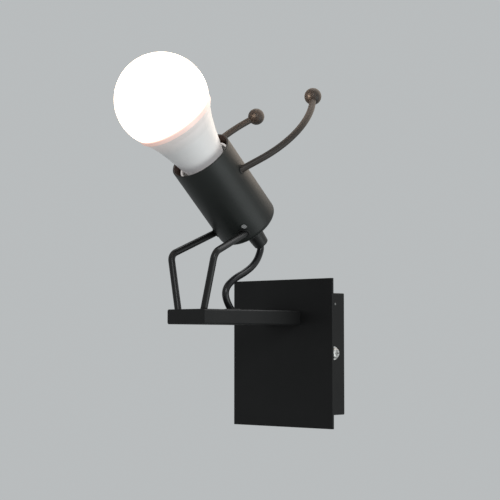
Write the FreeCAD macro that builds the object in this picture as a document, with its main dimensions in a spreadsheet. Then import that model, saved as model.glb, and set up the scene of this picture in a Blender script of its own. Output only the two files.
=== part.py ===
import FreeCAD, Part
import math
import os
import Sketcher

# A wall lamp shaped like a standing figure. A plate and a shallow box sit on the wall, a flat bar
# sticks out of the plate, and a figure of bent rods stands on the end of the bar and leans out
# into the room. Its body is a cup that holds a lampholder and its head is a lit opal bulb.
#
# Millimetres. The wall is the plane y = 0, the room is on the -Y side, +Z is up, and the origin is
# the middle of the plate, on the wall. The pieces on the cup's axis are drawn in the cup's own
# frame, with z = 0 at the cup's rim and +z towards the bulb, and then leaned over together.

doc = FreeCAD.newDocument("wall_lamp")
sheet = doc.addObject("Spreadsheet::Sheet", "Sizes")
V = FreeCAD.Vector

SIZES = (
    # plate and box on the wall
    ("plate_wide", 90),
    ("plate_high", 100),
    ("plate_thick", 1.5),
    ("plate_corner", 0.4),
    ("plate_edge", 0.3),
    ("box_wide", 70),
    ("box_high", 82),
    ("box_middle", -0.5),
    ("box_deep", 23),
    ("box_sheet", 1.2),
    ("box_corner", 0.7),
    ("tab_thick", 1),
    ("tab_reach", 11.3),
    # bracket behind the box
    ("bracket_high", 20),
    ("bracket_sheet", 1.5),
    ("bracket_gap", 0.3),
    ("ear_deep", 17),
    ("slot_spacing", 44),
    ("slot_long", 10),
    ("slot_wide", 4.5),
    ("supply_hole", 10),
    ("earth_out", 11),
    # M4 screws
    ("screw_thick", 4),
    ("screw_head_wide", 7),
    ("screw_head_high", 2.4),
    ("recess_wide", 0.9),
    ("recess_long", 4.2),
    ("recess_deep", 1.4),
    ("screw_gap", 0.05),
    ("side_screw_long", 7.3),
    ("side_screw_out", 11.5),
    ("side_hole", "=screw_thick + 0.4"),
    ("washer_wide", 9),
    ("washer_hole", "=screw_thick + 0.4"),
    ("washer_thick", 0.8),
    ("rivet_out", 9.4),
    ("rivet_rise", 33.1),
    ("rivet_wide", 1.7),
    ("rivet_shank", 1.2),
    ("rivet_head", 0.4),
    # bar
    ("bar_wide", 34),
    ("bar_high", 9.6),
    ("bar_long", 91.5),
    ("bar_sheet", 1.5),
    ("bar_corner", 1.3),
    ("bar_rise", 23.7),
    ("block_deep", 13.5),
    ("block_gap", 0.2),
    ("bar_screw_spread", 10),
    ("bar_screw_long", 14),
    ("bush_wide", 7),
    ("bush_bore", 4.6),
    ("bush_flange", 9.2),
    # rods of the figure
    ("rod_thick", 4.5),
    ("rod_gap", 0.1),
    ("foot_spread", 11.8),
    ("foot_back", 4.6),
    ("pin_thick", 3),
    ("pin_long", 5),
    ("foot_nut_across", 5.5),
    ("foot_nut_high", 2.4),
    ("knee_spread", 20.05),
    ("knee_back", 6),
    ("knee_rise", 35.7),
    ("knee_bend", 6.5),
    ("right_hip_turn", -54),
    ("left_hip_turn", -40),
    ("hip_drop", 55.25),
    ("hip_inside", 4.5),
    ("arm_turn", 17.1),
    ("arm_drop", 19.6),
    ("arm_heading", 49.4),
    ("arm_climb", 29.2),
    ("arm_straight", 13.8),
    ("arm_bend", 61.1),
    ("arm_sweep", 68.7),
    ("right_arm_lean", -55.7),
    ("left_arm_lean", -69.1),
    ("arm_inside", 1.4),
    ("hand_wide", 11.5),
    # cup
    ("cup_wide", 42),
    ("cup_long", 63),
    ("cup_sheet", 1.2),
    ("cup_floor", 1.5),
    ("cup_corner", 4),
    ("cup_tilt", 47),
    ("cup_back", 12.7),
    ("cup_rise", 99.8),
    # cable and wires
    ("cable_thick", 4.7),
    ("cable_gap", 0.1),
    ("core_thick", 1.8),
    ("grommet_back", 42.8),
    ("grommet_wide", "=cable_thick + 4.3"),
    ("grommet_lip", "=grommet_wide + 1.8"),
    ("grommet_rise", 0.8),
    # lampholder, tube and cord grip
    ("holder_wide", 35.4),
    ("holder_sheet", 1.1),
    ("holder_mouth", 4.4),
    ("holder_joint", 32),
    ("holder_end", 46),
    ("holder_shoulder", 5),
    ("holder_neck", 6),
    ("neck_wall", 2.2),
    ("spigot_long", 4),
    ("spigot_sheet", 1.1),
    ("insert_wide", 30.2),
    ("insert_top", 10),
    ("insert_floor", 33.6),
    ("insert_low", 37.5),
    ("shell_sheet", 0.6),
    ("terminal_spread", 9),
    ("contact_screw", 2.4),
    ("nipple_wide", 10),
    ("nipple_bore", 7),
    ("nut_across", 14),
    ("nut_high", 3),
    ("tooth_thick", 0.5),
    ("tooth_wide", 17),
    ("tooth_gap", 1.6),
    ("nipple_below", 7),
    ("grip_wide", 13),
    ("grip_mouth", "=cable_thick * 1.87"),
    ("grip_end_wide", "=grip_mouth + 1.4"),
    ("grip_long", 16.8),
    ("grip_seat", 8),
    ("grip_funnel", 5),
    ("grip_screw_thick", 2.5),
    # bulb, with its cap of pitch 3.629
    ("globe_wide", 60),
    ("globe_rise", 47.2),
    ("globe_wall", 1.2),
    ("thread_pitch", 3.629),
    ("cap_crest", 26.2),
    ("cap_root", 24),
    ("shell_bore", 26.9),
    ("shell_ridge", 24.8),
    ("board_wide", 44),
    ("board_low", 26.9),
    ("board_thick", 1.5),
)


def write_sizes():
    for row, (name, value) in enumerate(SIZES, start=1):
        sheet.set(f"A{row}", name)
        sheet.set(f"B{row}", str(value))
        sheet.setAlias(f"B{row}", name)
    doc.recompute()


def size(name):
    return float(sheet.get(name))


write_sizes()

# Places worked out from the sizes
PLATE_FRONT = size("box_deep") + size("plate_thick")
BAR_FRONT = PLATE_FRONT + size("bar_long")
BAR_TOP = size("bar_rise") + size("bar_high") / 2
GROMMET = V(0, size("grommet_back") - BAR_FRONT, BAR_TOP)
CUP_RADIUS = size("cup_wide") / 2
ROD = size("rod_thick") / 2
RIM = V(0, size("cup_back") - BAR_FRONT, BAR_TOP + size("cup_rise"))
LEAN = FreeCAD.Placement(RIM, FreeCAD.Rotation(V(1, 0, 0), size("cup_tilt")))
# the same in words that a size sheet can follow
FRONT = "Sizes.box_deep + Sizes.plate_thick"
BAR_TOP_TEXT = "Sizes.bar_rise + Sizes.bar_high / 2"
WALL_SIDE = FreeCAD.Rotation(V(1, 0, 0), -90)
ROOM_SIDE = FreeCAD.Rotation(V(1, 0, 0), 90)

pieces = []


# Sketches and features

def keep(piece):
    """Counts a finished object among the lamp's pieces."""
    pieces.append(piece)
    return piece


def new_body(name):
    return doc.addObject("PartDesign::Body", name)


def new_sketch(body, name, role, offset="0"):
    sketch = body.newObject("Sketcher::SketchObject", name)
    plane = next(f for f in body.Origin.OriginFeatures if f.Role == role)
    sketch.AttachmentSupport = [(plane, "")]
    sketch.MapMode = "FlatFace"
    if offset != "0":
        sketch.setExpression("AttachmentOffset.Base.z", offset)
    return sketch


def pin_point(sketch, line, end, across, up):
    """Ties a sketch point to two distances from the origin, each a text that names sizes."""
    for way, axis, distance in (("DistanceX", -2, across), ("DistanceY", -1, up)):
        if distance == "0":
            sketch.addConstraint(Sketcher.Constraint("PointOnObject", line, end, axis))
        else:
            index = sketch.addConstraint(Sketcher.Constraint(way, -1, 1, line, end, 1.0))
            sketch.setExpression(f"Constraints[{index}]", distance)


def on_circle(radius, count):
    turns = [2 * math.pi * i / count for i in range(count)]
    return [V(radius * math.cos(turn), radius * math.sin(turn), 0) for turn in turns]


def add_outline(sketch, corners):
    first = len(sketch.Geometry)
    count = len(corners)
    ring = on_circle(20, count)
    for i in range(count):
        sketch.addGeometry(Part.LineSegment(ring[i], ring[(i + 1) % count]), False)
    for i in range(count):
        following = first + (i + 1) % count
        sketch.addConstraint(Sketcher.Constraint("Coincident", first + i, 2, following, 1))
    for i, (across, up) in enumerate(corners):
        pin_point(sketch, first + i, 1, across, up)


def add_rectangle(sketch, wide, high, middle="0"):
    low = f"({middle}) - ({high}) / 2"
    top = f"({middle}) + ({high}) / 2"
    add_outline(sketch, (
        (f"-({wide}) / 2", low),
        (f"({wide}) / 2", low),
        (f"({wide}) / 2", top),
        (f"-({wide}) / 2", top),
    ))


def add_circle(sketch, across, up, wide):
    circle = sketch.addGeometry(Part.Circle(V(5, 5, 0), V(0, 0, 1), 1), False)
    pin_point(sketch, circle, 3, across, up)
    index = sketch.addConstraint(Sketcher.Constraint("Radius", circle, 1.0))
    sketch.setExpression(f"Constraints[{index}]", f"({wide}) / 2")


def pad(body, sketch, name, length, both=False):
    feature = body.newObject("PartDesign::Pad", name)
    feature.Profile = sketch
    feature.setExpression("Length", length)
    feature.SideType = "Symmetric" if both else "One side"
    doc.recompute()
    return feature


def pocket(body, sketch, name, depth=None, reverse=False):
    """Cuts a sketch to a depth, or all the way through both ways where no depth is given."""
    before = body.Shape.Volume
    feature = body.newObject("PartDesign::Pocket", name)
    feature.Profile = sketch
    if depth is None:
        feature.Type = "ThroughAll"
        feature.SideType = "Symmetric"
    else:
        feature.setExpression("Length", depth)
        feature.Reversed = reverse
    doc.recompute()
    if not body.Shape.Volume < before - 0.01:
        raise RuntimeError(f"{body.Label}: {name} cuts nothing")
    return feature


def edge_names(feature, wanted):
    names = []
    for number, edge in enumerate(feature.Shape.Edges, start=1):
        if wanted(edge):
            names.append(f"Edge{number}")
    if not names:
        raise RuntimeError(f"{feature.Label}: no edge to round")
    return names


def round_edges(body, feature, name, radius, wanted, kind="Fillet"):
    rounded = body.newObject(f"PartDesign::{kind}", name)
    rounded.Base = (feature, edge_names(feature, wanted))
    rounded.setExpression("Radius" if kind == "Fillet" else "Size", radius)
    doc.recompute()
    return rounded


def runs_along(edge, axis):
    if edge.Curve.TypeId != "Part::GeomLine" or edge.Length < 0.5:
        return False
    return abs(edge.Curve.Direction.dot(axis)) > 0.999


def runs_deep(edge):
    return runs_along(edge, V(0, 1, 0))


def at_height(edge, height, least=0.0):
    """True for a whole round edge at this z of its body, at least this far from the axis."""
    box = edge.BoundBox
    flat = abs(box.ZMin - height) < 0.01 and abs(box.ZMax - height) < 0.01
    return flat and box.XMax > least - 0.01


def turned(name, profile):
    """A body turned about its own z axis, from (radius, height) corners in words."""
    body = new_body(name)
    sketch = new_sketch(body, name + "_profile", "XZ_Plane")
    add_outline(sketch, profile)
    feature = body.newObject("PartDesign::Revolution", name + "_turned")
    feature.Profile = sketch
    feature.ReferenceAxis = (sketch, ["V_Axis"])
    feature.Angle = 360
    doc.recompute()
    return body, feature


def lean(piece):
    """Puts a piece from the cup's own frame in its place on the lamp."""
    piece.Placement = LEAN
    if piece.TypeId != "Part::Feature":
        piece.setExpression("Placement.Base.y", f"Sizes.cup_back - ({FRONT} + Sizes.bar_long)")
        piece.setExpression("Placement.Base.z", f"{BAR_TOP_TEXT} + Sizes.cup_rise")
        piece.setExpression("Placement.Rotation.Angle", "Sizes.cup_tilt")
    return piece


def put(piece, base, rotation=FreeCAD.Rotation()):
    piece.Placement = FreeCAD.Placement(base, rotation)
    return piece


def shape_piece(name, shape, placement=None):
    feature = doc.addObject("Part::Feature", name)
    drawn_at = FreeCAD.Placement(shape.Placement)
    feature.Shape = shape
    if placement:
        feature.Placement = placement.multiply(drawn_at)
    return keep(feature)


def cut(name, base, tool):
    feature = doc.addObject("Part::Cut", name)
    feature.Base = base
    feature.Tool = tool
    doc.recompute()
    return feature


def cylinder(name, radius, height, base=V(), rotation=FreeCAD.Rotation()):
    feature = doc.addObject("Part::Cylinder", name)
    feature.setExpression("Radius", radius)
    feature.setExpression("Height", height)
    return put(feature, base, rotation)


# Tubes and rods along a route of straight runs joined by arcs

def route_edges(points, radii=None):
    """Edges of a route, the radii it took, and its length.

    Without radii each arc is as large as its two runs allow: 0.45 of the shorter run, divided by
    the tangent of half the turn.
    """
    edges = []
    used = []
    start = points[0]
    for i in range(1, len(points) - 1):
        back = points[i] - points[i - 1]
        ahead = points[i + 1] - points[i]
        turn = back.getAngle(ahead)
        if radii:
            reach = radii[i - 1] * math.tan(turn / 2)
        else:
            reach = 0.45 * min(back.Length, ahead.Length)
        used.append(reach / math.tan(turn / 2))
        arc_start = points[i] - back.normalize() * reach
        arc_end = points[i] + ahead.normalize() * reach
        inward = (ahead - back).normalize()
        middle = points[i] + inward * (used[-1] / math.cos(turn / 2) - used[-1])
        edges.append(Part.LineSegment(start, arc_start).toShape())
        edges.append(Part.Arc(arc_start, middle, arc_end).toShape())
        start = arc_end
    edges.append(Part.LineSegment(start, points[-1]).toShape())
    return edges, used, sum(edge.Length for edge in edges)


def sweep(edges, radius):
    """A round rod along joined edges."""
    start = edges[0].Vertexes[0].Point
    heading = edges[0].tangentAt(edges[0].FirstParameter)
    section = Part.Circle(start, heading, radius).toShape()
    return Part.Wire(edges).makePipeShell([Part.Wire(section)], True, False)


def tube(points, radius, radii=None):
    edges, _, _ = route_edges(points, radii)
    return sweep(edges, radius)


# Pieces on the wall

def make_wall_bracket():
    """A flat strip screwed to the wall, with an ear welded to each of its ends."""
    body = new_body("wall_bracket")
    half = "(Sizes.box_wide / 2 - Sizes.box_sheet - Sizes.bracket_gap)"
    thick = "Sizes.bracket_sheet"
    outline = new_sketch(body, "bracket_outline", "XZ_Plane")
    add_rectangle(outline, f"2 * ({half} - {thick})", "Sizes.bracket_high")
    pad(body, outline, "bracket_strip", thick)
    holes = new_sketch(body, "bracket_holes", "XZ_Plane")
    add_circle(holes, "0", "0", "Sizes.supply_hole")
    add_circle(holes, "Sizes.earth_out", "0", "Sizes.screw_thick + 2 * Sizes.screw_gap")
    pocket(body, holes, "bracket_drilled")
    for side, sign in (("right", ""), ("left", "-")):
        middle = f"{sign}(Sizes.slot_spacing / 2)"
        reach = "(Sizes.slot_long - Sizes.slot_wide) / 2"
        slot = new_sketch(body, f"{side}_slot", "XZ_Plane")
        add_outline(slot, (
            (f"{middle} - {reach}", "-Sizes.slot_wide / 2"),
            (f"{middle} + {reach}", "-Sizes.slot_wide / 2"),
            (f"{middle} + {reach}", "Sizes.slot_wide / 2"),
            (f"{middle} - {reach}", "Sizes.slot_wide / 2"),
        ))
        pocket(body, slot, f"{side}_slot_cut")
        ends = new_sketch(body, f"{side}_slot_ends", "XZ_Plane")
        add_circle(ends, f"{middle} - {reach}", "0", "Sizes.slot_wide")
        add_circle(ends, f"{middle} + {reach}", "0", "Sizes.slot_wide")
        pocket(body, ends, f"{side}_slot_rounded")
    keep(body)

    def is_ear_corner(edge):
        return abs(edge.CenterOfMass.y + size("ear_deep")) < 0.01 and runs_along(edge, V(1, 0, 0))

    for side, offset in (("right", f"{half} - {thick}"), ("left", f"-{half}")):
        ear = new_body(f"{side}_bracket_ear")
        outline = new_sketch(ear, f"{side}_ear_outline", "YZ_Plane", offset)
        add_outline(outline, (
            ("-Sizes.ear_deep", "-Sizes.bracket_high / 2"),
            ("0", "-Sizes.bracket_high / 2"),
            ("0", "Sizes.bracket_high / 2"),
            ("-Sizes.ear_deep", "Sizes.bracket_high / 2"),
        ))
        plate = pad(ear, outline, f"{side}_ear_plate", thick)
        round_edges(ear, plate, f"{side}_ear_corners", "Sizes.screw_thick", is_ear_corner)
        thread = new_sketch(ear, f"{side}_ear_thread", "YZ_Plane")
        add_circle(thread, "-Sizes.side_screw_out", "0", "Sizes.screw_thick + 2 * Sizes.screw_gap")
        pocket(ear, thread, f"{side}_ear_drilled")
        keep(ear)


def make_back_box():
    body = new_body("back_box")
    outline = new_sketch(body, "box_outline", "XZ_Plane")
    add_rectangle(outline, "Sizes.box_wide", "Sizes.box_high", "Sizes.box_middle")
    block = pad(body, outline, "box_block", "Sizes.box_deep")
    round_edges(body, block, "box_corners", "Sizes.box_corner", runs_deep)
    inside = new_sketch(body, "box_inside", "XZ_Plane")
    loss = "2 * Sizes.box_sheet"
    add_rectangle(inside, f"Sizes.box_wide - {loss}", f"Sizes.box_high - {loss}", "Sizes.box_middle")
    pocket(body, inside, "box_hollow", "Sizes.box_deep - Sizes.box_sheet", reverse=True)
    # folded tabs that the rivets hold to the sides
    inner_half = "(Sizes.box_wide / 2 - Sizes.box_sheet)"
    for side, offset in (
        ("right", f"{inner_half} - Sizes.tab_thick"),
        ("left", f"-{inner_half}"),
    ):
        tab = new_sketch(body, f"{side}_tab", "YZ_Plane", offset)
        top = "(Sizes.box_middle + Sizes.box_high / 2 - Sizes.box_sheet / 2)"
        add_outline(tab, (
            ("-Sizes.rivet_out - 5", top),
            ("-Sizes.rivet_out + 5", top),
            ("-Sizes.rivet_out + 5", f"{top} - Sizes.tab_reach"),
            ("-Sizes.rivet_out - 5", f"{top} - Sizes.tab_reach"),
        ))
        pad(body, tab, f"{side}_tab_sheet", "Sizes.tab_thick")
    sides = new_sketch(body, "box_side_holes", "YZ_Plane")
    add_circle(sides, "-Sizes.side_screw_out", "0", "Sizes.side_hole")
    add_circle(sides, "-Sizes.rivet_out", "Sizes.rivet_rise", "Sizes.rivet_shank + Sizes.screw_gap")
    pocket(body, sides, "box_sides_drilled")
    front = new_sketch(body, "box_front_holes", "XZ_Plane")
    add_front_holes(front)
    pocket(body, front, "box_front_drilled")
    keep(body)


def add_front_holes(sketch):
    """Holes of the two bar screws and the wire bush."""
    add_circle(sketch, "Sizes.bar_screw_spread", "Sizes.bar_rise", "Sizes.side_hole")
    add_circle(sketch, "-Sizes.bar_screw_spread", "Sizes.bar_rise", "Sizes.side_hole")
    add_circle(sketch, "0", "Sizes.bar_rise", "Sizes.bush_wide + 2 * Sizes.screw_gap")


def make_front_plate():
    body = new_body("front_plate")
    outline = new_sketch(body, "plate_outline", "XZ_Plane", "Sizes.box_deep")
    add_rectangle(outline, "Sizes.plate_wide", "Sizes.plate_high")
    slab = pad(body, outline, "plate_slab", "Sizes.plate_thick")
    corners = round_edges(body, slab, "plate_corners", "Sizes.plate_corner", runs_deep)

    def is_rim(edge):
        bounds = edge.BoundBox
        return bounds.YMax - bounds.YMin < 0.01 and abs(bounds.YMax + PLATE_FRONT) < 0.01

    round_edges(body, corners, "plate_edges", "Sizes.plate_edge", is_rim)
    holes = new_sketch(body, "plate_holes", "XZ_Plane", "Sizes.box_deep")
    add_front_holes(holes)
    pocket(body, holes, "plate_drilled")
    keep(body)


def add_screw(name, long, base, rotation):
    """A pan head screw with a cross recess. Its own z = 0 is under the head, and +z is outward."""
    shank = "Sizes.screw_thick / 2"
    head = "Sizes.screw_head_wide / 2"
    body, blank = turned(name, (
        ("0", f"-({long})"),
        (f"{shank} - 0.5", f"-({long})"),
        (shank, f"-({long}) + 0.5"),
        (shank, "0"),
        (head, "0"),
        (head, "Sizes.screw_head_high"),
        ("0", "Sizes.screw_head_high"),
    ))
    top = size("screw_head_high")
    domed = round_edges(
        body, blank, name + "_dome", "Sizes.screw_head_high * 0.6",
        lambda e: at_height(e, top) and e.Curve.TypeId == "Part::GeomCircle",
    )
    cross = new_sketch(body, name + "_cross", "XY_Plane", "Sizes.screw_head_high")
    arm = "Sizes.recess_long / 2"
    side = "Sizes.recess_wide / 2"
    add_outline(cross, (
        (side, side), (side, arm), (f"-{side}", arm), (f"-{side}", side),
        (f"-{arm}", side), (f"-{arm}", f"-{side}"), (f"-{side}", f"-{side}"), (f"-{side}", f"-{arm}"),
        (side, f"-{arm}"), (side, f"-{side}"), (arm, f"-{side}"), (arm, side),
    ))
    pocket(body, cross, name + "_recess", "Sizes.recess_deep")
    return put(body, base, rotation)


def add_ring(name, wide, bore, low, high):
    body, _ = turned(name, (
        (f"({bore}) / 2", low),
        (f"({wide}) / 2", low),
        (f"({wide}) / 2", high),
        (f"({bore}) / 2", high),
    ))
    return body


def make_side_screws():
    for side, sign in (("right", 1), ("left", -1)):
        outward = FreeCAD.Rotation(V(0, 1, 0), 90 * sign)
        face = size("box_wide") / 2 + size("washer_thick")
        base = V(sign * face, -size("side_screw_out"), 0)
        keep(add_screw(f"{side}_side_screw", "Sizes.side_screw_long", base, outward))
        washer = add_ring(
            f"{side}_screw_washer", "Sizes.washer_wide", "Sizes.washer_hole", "-Sizes.washer_thick", "0",
        )
        keep(put(washer, base, outward))
        behind = "-(Sizes.box_sheet + Sizes.tab_thick)"
        rivet, _ = turned(f"{side}_rivet", (
            ("0", f"{behind} - Sizes.rivet_head"),
            ("Sizes.rivet_wide / 2", f"{behind} - Sizes.rivet_head"),
            ("Sizes.rivet_wide / 2", behind),
            ("Sizes.rivet_shank / 2", behind),
            ("Sizes.rivet_shank / 2", "0"),
            ("Sizes.rivet_wide / 2", "0"),
            ("Sizes.rivet_wide * 0.45", "Sizes.rivet_head * 0.6"),
            ("Sizes.rivet_wide / 4", "Sizes.rivet_head"),
            ("0", "Sizes.rivet_head"),
        ))
        rivet_base = V(sign * size("box_wide") / 2, -size("rivet_out"), size("rivet_rise"))
        keep(put(rivet, rivet_base, outward))


def make_bar():
    body = new_body("bar")
    outline = new_sketch(body, "bar_outline", "XZ_Plane", FRONT)
    add_rectangle(outline, "Sizes.bar_wide", "Sizes.bar_high", "Sizes.bar_rise")
    solid = pad(body, outline, "bar_solid", "Sizes.bar_long - Sizes.bar_sheet")
    round_edges(body, solid, "bar_corners", "Sizes.bar_corner", runs_deep)
    inside = new_sketch(body, "bar_inside", "XZ_Plane", FRONT)
    loss = "2 * Sizes.bar_sheet"
    add_rectangle(inside, f"Sizes.bar_wide - {loss}", f"Sizes.bar_high - {loss}", "Sizes.bar_rise")
    pocket(body, inside, "bar_hollow")
    holes = new_sketch(body, "bar_top_holes", "XY_Plane", BAR_TOP_TEXT)
    foot = f"Sizes.foot_back - ({FRONT} + Sizes.bar_long)"
    for sign in ("", "-"):
        add_circle(holes, f"{sign}Sizes.foot_spread", foot, "Sizes.pin_thick + 2 * Sizes.rod_gap")
    grommet = f"Sizes.grommet_back - ({FRONT} + Sizes.bar_long)"
    add_circle(holes, "0", grommet, "Sizes.grommet_wide + 2 * Sizes.screw_gap")
    pocket(body, holes, "bar_top_drilled", "Sizes.bar_sheet * 2")
    keep(body)

    cap = new_body("bar_end_cap")
    outline = new_sketch(cap, "cap_outline", "XZ_Plane", f"{FRONT} + Sizes.bar_long - Sizes.bar_sheet")
    add_rectangle(outline, "Sizes.bar_wide", "Sizes.bar_high", "Sizes.bar_rise")
    slab = pad(cap, outline, "cap_slab", "Sizes.bar_sheet")
    corners = round_edges(cap, slab, "cap_corners", "Sizes.bar_corner", runs_deep)

    def is_front(edge):
        bounds = edge.BoundBox
        return abs(bounds.YMax + BAR_FRONT) < 0.01 and abs(bounds.YMin + BAR_FRONT) < 0.01

    round_edges(cap, corners, "cap_edges", "Sizes.plate_edge", is_front)
    keep(cap)

    block = new_body("bar_root_block")
    outline = new_sketch(block, "block_outline", "XZ_Plane", FRONT)
    loss = "(2 * Sizes.bar_sheet + 2 * Sizes.block_gap)"
    add_rectangle(outline, f"Sizes.bar_wide - {loss}", f"Sizes.bar_high - {loss}", "Sizes.bar_rise")
    pad(block, outline, "block_solid", "Sizes.block_deep")
    threads = new_sketch(block, "block_threads", "XZ_Plane", FRONT)
    for sign in ("", "-"):
        wide = "Sizes.screw_thick + 2 * Sizes.screw_gap"
        add_circle(threads, f"{sign}Sizes.bar_screw_spread", "Sizes.bar_rise", wide)
    add_circle(threads, "0", "Sizes.bar_rise", "Sizes.bush_bore")
    pocket(block, threads, "block_drilled")
    keep(block)

    inner_face = -(size("box_deep") - size("box_sheet"))
    for side, sign in (("right", 1), ("left", -1)):
        base = V(sign * size("bar_screw_spread"), inner_face, size("bar_rise"))
        keep(add_screw(f"{side}_bar_screw", "Sizes.bar_screw_long", base, WALL_SIDE))
    bush, _ = turned("wire_bush", (
        ("Sizes.bush_bore / 2", "-(Sizes.box_sheet + Sizes.plate_thick)"),
        ("Sizes.bush_wide / 2", "-(Sizes.box_sheet + Sizes.plate_thick)"),
        ("Sizes.bush_wide / 2", "0"),
        ("Sizes.bush_flange / 2", "0"),
        ("Sizes.bush_flange / 2", "1"),
        ("Sizes.bush_bore / 2", "1"),
    ))
    keep(put(bush, V(0, inner_face, size("bar_rise")), WALL_SIDE))


# The terminals inside the box: a block with two brass tubes, and two grub screws in each

BLOCK_WIDE = 20
BLOCK_HIGH = 14
BLOCK_DEEP = 11
BLOCK_LOW = -30
BLOCK_CORNER = 0.8
POLE_OUT = 5
POLE_DEEP = 6
INSERT_RADIUS = 1.9
INSERT_BORE = 1.2
GRUB_RADIUS = 1.3
GRUB_WELL = 1.6
GRUB_LONG = 3
GRUB_RISES = (3.5, 10.5)
SLOT_WIDE = 0.5
SLOT_DEEP = 0.7
PLAY = 0.05
# the earth tag: an eye under the screw, a tongue, and a crimped barrel
EYE_RADIUS = 4
TONGUE_WIDE = 3.2
TONGUE_LONG = 9
BARREL_RADIUS = 1.4
BARREL_BORE = 0.95
BARREL_LONG = 5
BARREL_RISE = 8
BARREL_OUT = 0.6


def make_terminals():
    wall_way = V(0, 1, 0)
    face = size("box_deep") - size("box_sheet")
    pole_y = -(face - POLE_DEEP)
    block = Part.makeBox(BLOCK_WIDE, BLOCK_DEEP, BLOCK_HIGH, V(-BLOCK_WIDE / 2, -face, BLOCK_LOW))
    inserts = []
    grubs = []
    for pole in (-POLE_OUT, POLE_OUT):
        low = V(pole, pole_y, BLOCK_LOW)
        block = block.cut(Part.makeCylinder(INSERT_RADIUS + PLAY, BLOCK_HIGH, low))
        insert = Part.makeCylinder(INSERT_RADIUS, BLOCK_HIGH, low)
        insert = insert.cut(Part.makeCylinder(INSERT_BORE, BLOCK_HIGH, low))
        for rise in GRUB_RISES:
            well = V(pole, pole_y, BLOCK_LOW + rise)
            block = block.cut(Part.makeCylinder(GRUB_WELL, BLOCK_DEEP, well, wall_way))
            insert = insert.cut(Part.makeCylinder(GRUB_RADIUS + PLAY, 2 * INSERT_RADIUS, well, wall_way))
            tip = well + wall_way * INSERT_BORE
            grub = Part.makeCylinder(GRUB_RADIUS, GRUB_LONG, tip, wall_way)
            slot_low = V(pole - SLOT_WIDE / 2, tip.y + GRUB_LONG - SLOT_DEEP, tip.z - GRUB_RADIUS)
            grubs.append(grub.cut(Part.makeBox(SLOT_WIDE, 1, 2 * GRUB_RADIUS, slot_low)))
        inserts.append(insert)
    long_corners = [edge for edge in block.Edges if runs_deep(edge) and edge.Length > BLOCK_DEEP - 1]
    block = block.makeFillet(BLOCK_CORNER, long_corners)
    shape_piece("terminal_block", block)
    shape_piece("terminal_inserts", Part.makeCompound(inserts))
    shape_piece("terminal_screws", Part.makeCompound(grubs))

    thick = size("washer_thick")
    earth = V(size("earth_out"), -(size("bracket_sheet") + thick), 0)
    keep(add_screw("earth_screw", "Sizes.bracket_sheet + Sizes.washer_thick - 0.1", earth, ROOM_SIDE))
    eye = Part.makeCylinder(EYE_RADIUS, thick, earth, wall_way)
    tongue = Part.makeBox(TONGUE_WIDE, thick, TONGUE_LONG, earth - V(TONGUE_WIDE / 2, 0, 0))
    barrel_low = earth + V(0, -BARREL_OUT, BARREL_RISE)
    barrel = Part.makeCylinder(BARREL_RADIUS, BARREL_LONG, barrel_low)
    tag = eye.fuse([tongue, barrel]).removeSplitter()
    tag = tag.cut(Part.makeCylinder(BARREL_BORE, BARREL_LONG, barrel_low))
    tag = tag.cut(Part.makeCylinder(size("screw_thick") / 2 + 2 * PLAY, thick, earth, wall_way))
    shape_piece("earth_tag", tag)


# The cable from the cord grip to the bar

# how far above the cord grip's end the cable's drawn length starts, and below it its first bend
CABLE_START = 6.6
CABLE_BEND = 0.86
# (back towards the wall, up) from the middle of the cord grip's end
HANGING = ((-2.78, -9.72), (-8.49, -15.74), (-16.70, -20.47))
# (back towards the wall, up) from the middle of the grommet, at the bar's top
ENTERING = ((2.92, 21.31), (-6.4, 14.78), (-6.31, 6.48))
# how far behind the grommet the cable turns level inside the bar, and where it ends
CORNER_BACK = 3.48
END_BACK = 11.36
CABLE_RISE = 0.05
# how far above the cup's floor the cable ends and its cores go on
CORES_START = 11
# where the cores leave the cable: the live and neutral ones side by side, the earth one on top
CORE_SPREAD = 0.95
CORE_DROP = 0.6
EARTH_RISE = 1.05
# how far above a terminal a core turns down to it, and how deep it goes in
CORE_TURN = 12
CORE_INSIDE = 4


def on_axis(depth):
    """A point of the cup's axis, this far below its rim."""
    return LEAN.multVec(V(0, 0, -depth))


def cable_points():
    end_depth = size("cup_long") + size("grip_long")
    grip_end = on_axis(end_depth)
    points = [on_axis(end_depth - CABLE_START), on_axis(end_depth + CABLE_BEND)]
    for back, up in HANGING:
        points.append(V(0, grip_end.y + back, grip_end.z + up))
    for back, up in ENTERING:
        points.append(GROMMET + V(0, back, up))
    level = size("bar_rise") + CABLE_RISE
    points.append(V(0, GROMMET.y + CORNER_BACK, level))
    points.append(V(0, GROMMET.y + END_BACK, level))
    return points


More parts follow.
